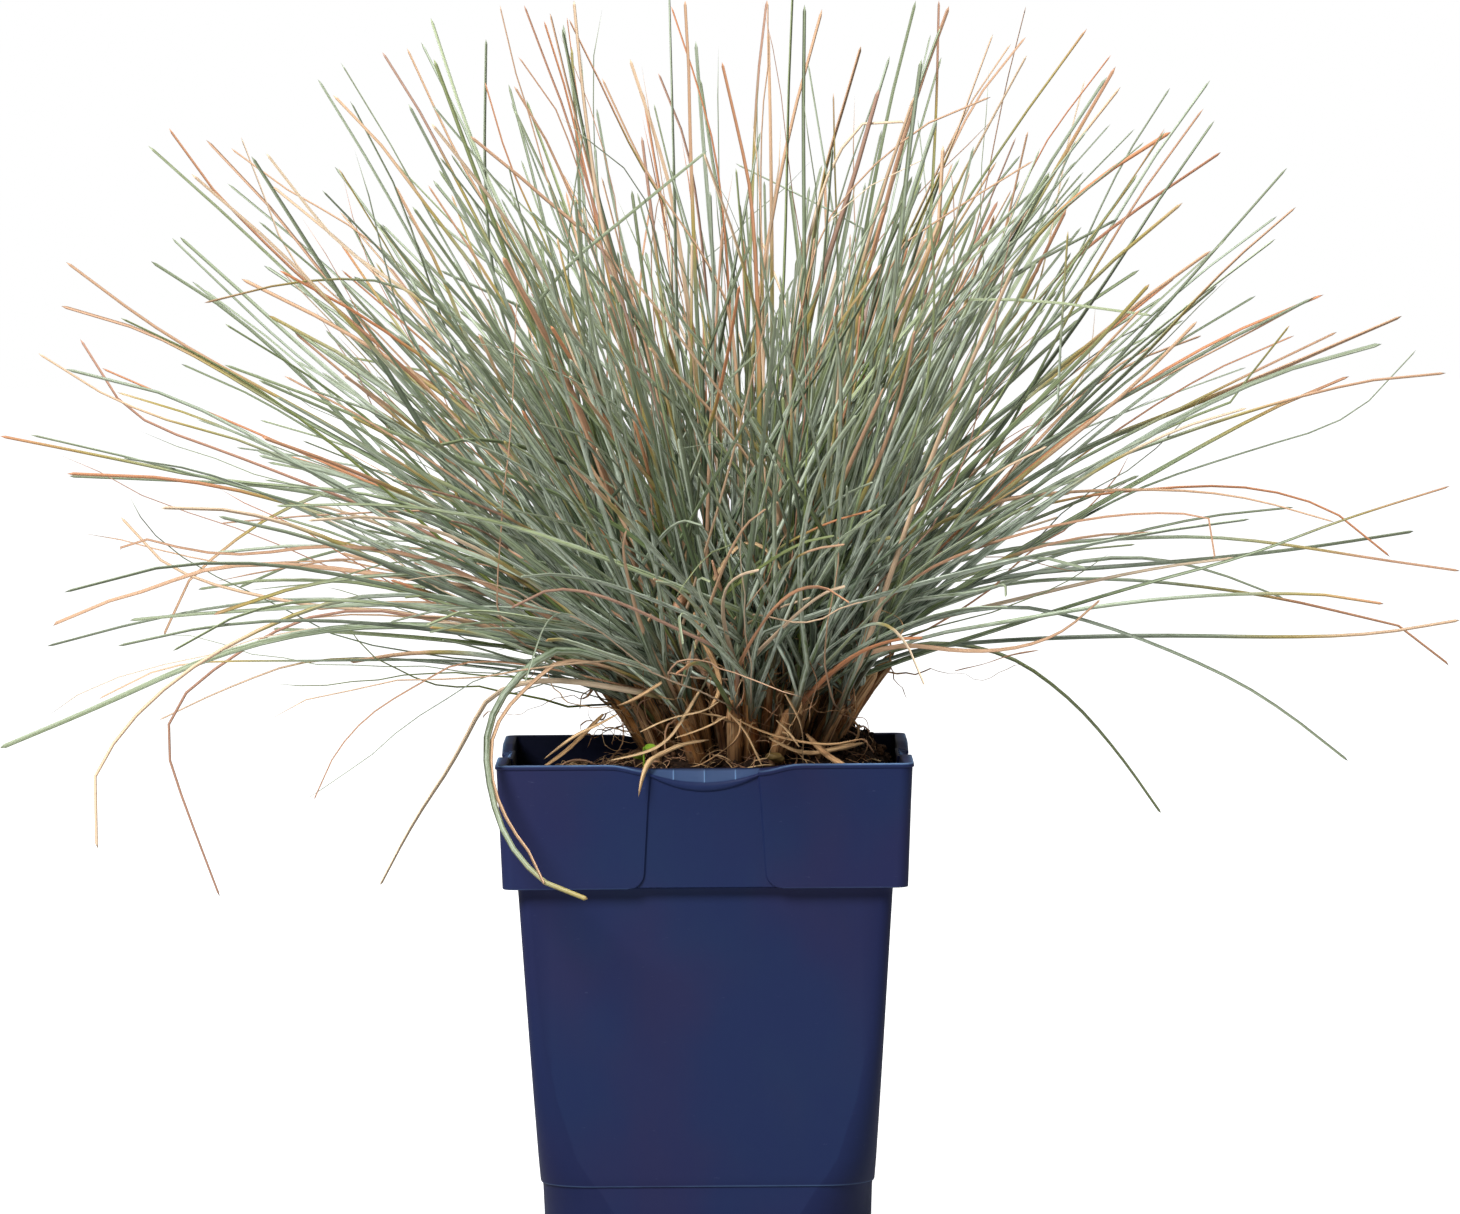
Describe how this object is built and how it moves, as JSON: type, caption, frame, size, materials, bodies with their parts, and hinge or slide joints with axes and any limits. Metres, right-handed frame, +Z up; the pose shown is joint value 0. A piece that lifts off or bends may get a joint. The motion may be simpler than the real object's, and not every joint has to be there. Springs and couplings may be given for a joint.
{
  "type": "potted blue fescue clump",
  "caption": "Clump of thin blue-green ornamental grass, with a brown crown and dry leaf tips, in a square blue plastic nursery pot.",
  "frame": {"origin": "centre of the pot's underside, which stands on the surface", "axes": "+Z up, -Y towards the pictured front of the pot, +X to the right in the picture"},
  "size_m": [0.3282, 0.3303, 0.275],
  "materials": {
    "pot_plastic": "satin",
    "potting_mix": "matte",
    "leaf": "satin",
    "dry_leaf": "matte",
    "seedling_leaf": "satin"
  },
  "bodies": {
    "root": {"pot": "pot_plastic", "potting_mix": "potting_mix", "leaf_tuft_01": "leaf", "leaf_tuft_02": "leaf", "leaf_tuft_03": "leaf", "leaf_tuft_04": "leaf", "leaf_tuft_05": "leaf", "leaf_tuft_06": "leaf", "leaf_tuft_07": "leaf", "leaf_tuft_08": "leaf", "leaf_tuft_09": "leaf", "leaf_tuft_10": "leaf", "leaf_tuft_11": "leaf", "leaf_tuft_12": "leaf", "leaf_tuft_13": "leaf", "leaf_tuft_14": "leaf", "leaf_tuft_15": "leaf", "leaf_tuft_16": "leaf", "leaf_tuft_17": "leaf", "leaf_tuft_18": "leaf", "leaf_tuft_19": "leaf", "leaf_tuft_20": "leaf", "leaf_tuft_21": "leaf", "leaf_tuft_22": "leaf", "leaf_tuft_23": "leaf", "leaf_tuft_24": "leaf", "leaf_tuft_25": "leaf", "leaf_tuft_26": "leaf", "leaf_tuft_27": "leaf", "leaf_tuft_28": "leaf", "leaf_tuft_29": "leaf", "leaf_tuft_30": "leaf", "leaf_tuft_31": "leaf", "leaf_tuft_32": "leaf", "leaf_tuft_33": "leaf", "dry_leaf_over_rim": "dry_leaf", "dry_leaf_left": "dry_leaf", "dry_leaf_right": "dry_leaf", "dry_leaf_front": "dry_leaf", "seedling": "seedling_leaf"}
  },
  "joints": []
}
